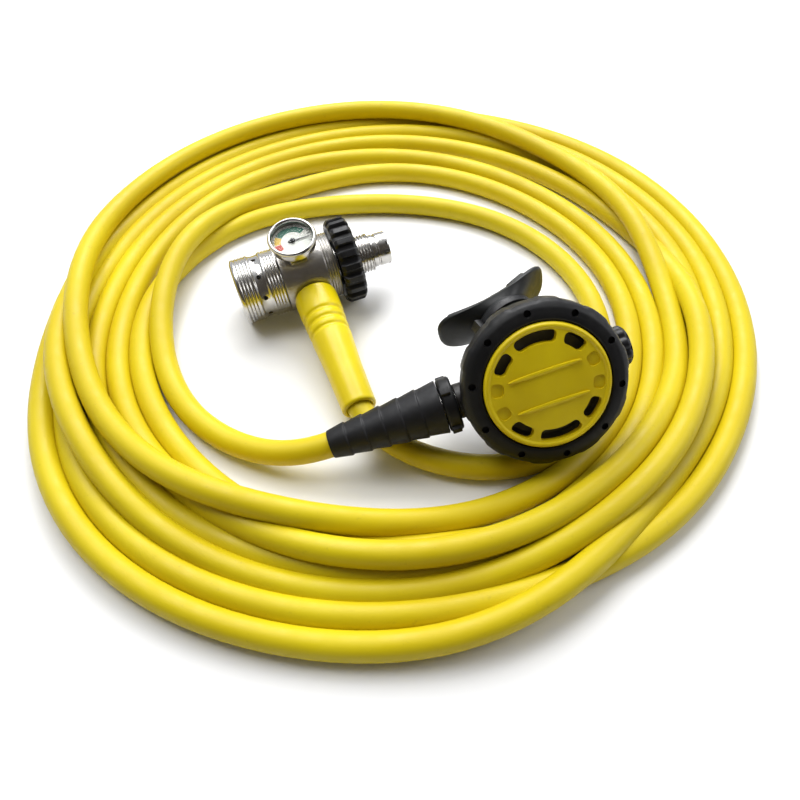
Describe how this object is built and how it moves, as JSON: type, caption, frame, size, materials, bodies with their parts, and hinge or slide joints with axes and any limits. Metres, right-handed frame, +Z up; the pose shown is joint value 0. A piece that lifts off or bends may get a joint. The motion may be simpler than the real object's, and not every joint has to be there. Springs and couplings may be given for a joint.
{
  "type": "scuba regulator set",
  "caption": "Scuba regulator set: a DIN first stage with a small pressure gauge, a long yellow hose laid in a loose coil, and a second stage with a purge cover and mouthpiece.",
  "frame": {"origin": "centre of the bottom of the box round the two stages, on the surface the set lies on", "axes": "+Z up; +X to the right and +Y away, seen from the side the second stage faces"},
  "size_m": [0.416, 0.416, 0.0847],
  "materials": {
    "black_plastic": "moulded, matte",
    "black_rubber": "moulded, matte",
    "brass": "machined",
    "chrome": "polished",
    "clear_plastic": "clear, gloss",
    "satin_metal": "bead-blasted satin",
    "silicone": "soft, matte",
    "steel": "drawn",
    "white_plastic": "satin",
    "yellow_plastic": "satin",
    "yellow_rubber": "smooth, satin"
  },
  "bodies": {
    "root": {"piston_cap": "chrome", "first_stage_body": "satin_metal", "port_plug_1": "chrome", "port_plug_2": "chrome", "main_spring": "steel", "high_pressure_seat": "white_plastic", "din_stem": "chrome", "din_o_ring": "black_rubber", "din_filter": "brass", "filter_circlip": "steel", "gauge_base": "chrome", "gauge_case": "chrome", "gauge_bezel": "chrome", "gauge_lens": "clear_plastic", "gauge_dial": "white_plastic", "bourdon_tube": "brass", "first_hose_fitting": "chrome", "first_hose_ferrule": "steel", "yellow_boot": "yellow_rubber", "hose_lead_first": "yellow_rubber", "hose_coil": "yellow_rubber", "hose_lead_second": "yellow_rubber", "second_hose_fitting": "chrome", "swivel_o_ring": "black_rubber", "black_boot": "black_rubber"},
    "handwheel": {"din_handwheel": "black_plastic", "din_thread_sleeve": "chrome"},
    "needle": {"gauge_needle": "black_plastic"},
    "piston": {"first_stage_piston": "brass", "piston_o_ring": "black_rubber"},
    "second_stage": {"second_stage_case": "black_plastic", "cover_ring": "black_plastic", "purge_spring": "steel", "diaphragm": "silicone", "valve_barrel": "chrome", "valve_orifice": "chrome", "poppet_spring": "steel", "inlet_collar": "black_plastic", "swivel_nut": "chrome", "exhaust_valve": "silicone", "exhaust_tee": "black_rubber", "mouthpiece": "black_rubber", "mouthpiece_clamp": "black_plastic"},
    "cover": {"purge_cover": "yellow_plastic"},
    "plate": {"diaphragm_plate": "white_plastic"},
    "lever": {"lever": "steel"},
    "poppet": {"poppet": "white_plastic", "poppet_seat": "black_rubber"},
    "adjuster": {"adjusting_knob": "black_plastic", "adjusting_screw": "brass", "knob_o_ring": "black_rubber"}
  },
  "joints": [
    {"name": "handwheel_spin", "type": "hinge", "parent": "root", "child": "handwheel", "pos_m": [-0.03837, 0.05912, 0.0253], "axis": [0.9358, 0.3387, 0.0977], "continuous": true},
    {"name": "gauge_needle_turn", "type": "hinge", "parent": "root", "child": "needle", "pos_m": [-0.06438, 0.04374, 0.05139], "axis": [0.0253, 0.2121, -0.9769], "range_deg": [0, 270], "stiffness_Nm_per_rad": 0.00002},
    {"name": "piston_slide", "type": "slide", "parent": "root", "child": "piston", "axis": [0.9358, 0.3387, 0.0977], "range_m": [0, 0.001], "stiffness_N_per_m": 4000, "deforming": ["main_spring"]},
    {"name": "second_stage_swivel", "type": "hinge", "parent": "root", "child": "second_stage", "pos_m": [0.0063, -0.05957, 0.02941], "axis": [0.9455, 0.227, 0.2334], "range_deg": [-30, 6]},
    {"name": "purge_press", "type": "slide", "parent": "second_stage", "child": "cover", "axis": [-0.0554, 0.8187, -0.5715], "range_m": [0, 0.0022], "stiffness_N_per_m": 900, "deforming": ["purge_spring"]},
    {"name": "diaphragm_slide", "type": "slide", "parent": "second_stage", "child": "plate", "axis": [-0.0554, 0.8187, -0.5715], "range_m": [0, 0.00198]},
    {"name": "lever_tilt", "type": "hinge", "parent": "second_stage", "child": "lever", "pos_m": [0.05341, -0.04576, 0.03936], "axis": [-0.3209, 0.5275, 0.7867], "range_deg": [0, 5.05]},
    {"name": "poppet_slide", "type": "slide", "parent": "second_stage", "child": "poppet", "axis": [0.9455, 0.227, 0.2334], "range_m": [0, 0.00034], "deforming": ["poppet_spring"]},
    {"name": "adjusting_knob_turn", "type": "hinge", "parent": "second_stage", "child": "adjuster", "pos_m": [0.09991, -0.0371, 0.05252], "axis": [0.9455, 0.227, 0.2334], "range_deg": [0, 300]}
  ],
  "couplings": [
    {"joint": "diaphragm_slide", "follows": "purge_press", "ratio": 0.9},
    {"joint": "lever_tilt", "follows": "purge_press", "rad_per_m": 40},
    {"joint": "poppet_slide", "follows": "purge_press", "ratio": 0.15}
  ]
}
